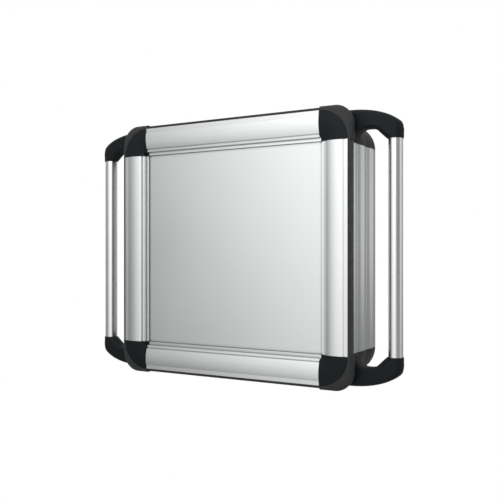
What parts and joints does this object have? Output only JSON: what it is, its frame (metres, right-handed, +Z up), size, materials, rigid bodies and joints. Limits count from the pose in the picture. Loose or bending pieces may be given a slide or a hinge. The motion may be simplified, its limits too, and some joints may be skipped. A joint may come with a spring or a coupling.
{
  "type": "operator panel enclosure",
  "caption": "Aluminium operator panel enclosure with recessed front panel, side grab handles, hinged rear door with quarter-turn latches, and support-arm flange.",
  "frame": {"origin": "centre of the arm flange's top face, in the middle of its four screw holes", "axes": "+X to the right seen from the front, +Y to the back, +Z up"},
  "size_m": [0.6634, 0.1654, 0.501],
  "materials": {
    "frame_aluminium": "satin natural anodised extrusion",
    "frame_corner_plastic": "anthracite fine-textured moulding",
    "edge_trim_plastic": "anthracite extruded trim",
    "panel_aluminium": "natural anodised sheet",
    "seal_rubber": "black rubber",
    "housing_aluminium": "satin natural anodised extrusion",
    "housing_corner_casting": "anthracite powder-coated casting",
    "handle_arm_casting": "anthracite powder-coated casting",
    "handle_tube_aluminium": "satin natural anodised tube",
    "flange_casting": "anthracite powder-coated casting",
    "door_aluminium": "natural anodised sheet",
    "latch_casting": "black coated zinc casting",
    "latch_rotor_metal": "nickel-plated zinc casting",
    "earth_brass": "plain brass",
    "black_steel": "blackened steel",
    "bright_steel": "stainless steel",
    "screw_steel": "zinc-plated steel",
    "zinc_steel": "zinc-plated sheet steel"
  },
  "bodies": {
    "enclosure": {"frame_profile_top": "frame_aluminium", "frame_profile_bottom": "frame_aluminium", "frame_profile_left": "frame_aluminium", "frame_profile_right": "frame_aluminium", "frame_corner_top_left": "frame_corner_plastic", "frame_corner_top_right": "frame_corner_plastic", "frame_corner_bottom_left": "frame_corner_plastic", "frame_corner_bottom_right": "frame_corner_plastic", "edge_trim_top": "edge_trim_plastic", "edge_trim_bottom": "edge_trim_plastic", "edge_trim_left": "edge_trim_plastic", "edge_trim_right": "edge_trim_plastic", "frame_corner_angles": "zinc_steel", "frame_angle_screws": "screw_steel", "front_panel": "panel_aluminium", "panel_gasket": "seal_rubber", "panel_clamps": "zinc_steel", "panel_clamp_screws": "screw_steel", "housing_profile_top": "housing_aluminium", "housing_profile_bottom": "housing_aluminium", "housing_profile_left": "housing_aluminium", "housing_profile_right": "housing_aluminium", "housing_corner_top_left": "housing_corner_casting", "housing_corner_top_right": "housing_corner_casting", "housing_corner_bottom_left": "housing_corner_casting", "housing_corner_bottom_right": "housing_corner_casting", "housing_corner_screws": "screw_steel", "housing_seal": "seal_rubber", "frame_brackets": "zinc_steel", "frame_bracket_screws": "screw_steel", "handle_arm_top_left": "handle_arm_casting", "handle_arm_top_right": "handle_arm_casting", "handle_arm_bottom_left": "handle_arm_casting", "handle_arm_bottom_right": "handle_arm_casting", "handle_tube_left": "handle_tube_aluminium", "handle_tube_right": "handle_tube_aluminium", "handle_screws": "screw_steel", "handle_set_screws": "black_steel", "arm_flange": "flange_casting", "arm_reinforcement": "zinc_steel", "flange_screws": "screw_steel", "cable_rail": "bright_steel", "cable_rail_brackets": "zinc_steel", "hinge_bases": "bright_steel", "hinge_pins": "bright_steel", "hinge_base_screws": "screw_steel", "latch_keepers": "zinc_steel", "earth_stud": "earth_brass"},
    "door": {"rear_door": "door_aluminium", "door_gasket": "seal_rubber", "hinge_leaves": "bright_steel", "hinge_leaf_screws": "screw_steel", "latch_barrels": "latch_casting", "latch_barrel_nuts": "zinc_steel"},
    "upper_latch": {"latch_rotor_upper": "latch_rotor_metal", "latch_cam_upper": "zinc_steel", "latch_nuts_upper": "zinc_steel"},
    "lower_latch": {"latch_rotor_lower": "latch_rotor_metal", "latch_cam_lower": "zinc_steel", "latch_nuts_lower": "zinc_steel"}
  },
  "joints": [
    {"name": "door_swing", "type": "hinge", "parent": "enclosure", "child": "door", "pos_m": [-0.2352, 0.0735, -0.2452], "axis": [0, 0, 1], "range_deg": [0, 120]},
    {"name": "upper_latch_turn", "type": "hinge", "parent": "door", "child": "upper_latch", "pos_m": [0.2, 0.0615, -0.1252], "axis": [0, -1, 0], "range_deg": [0, 90]},
    {"name": "lower_latch_turn", "type": "hinge", "parent": "door", "child": "lower_latch", "pos_m": [0.2, 0.0615, -0.3652], "axis": [0, -1, 0], "range_deg": [0, 90]}
  ]
}
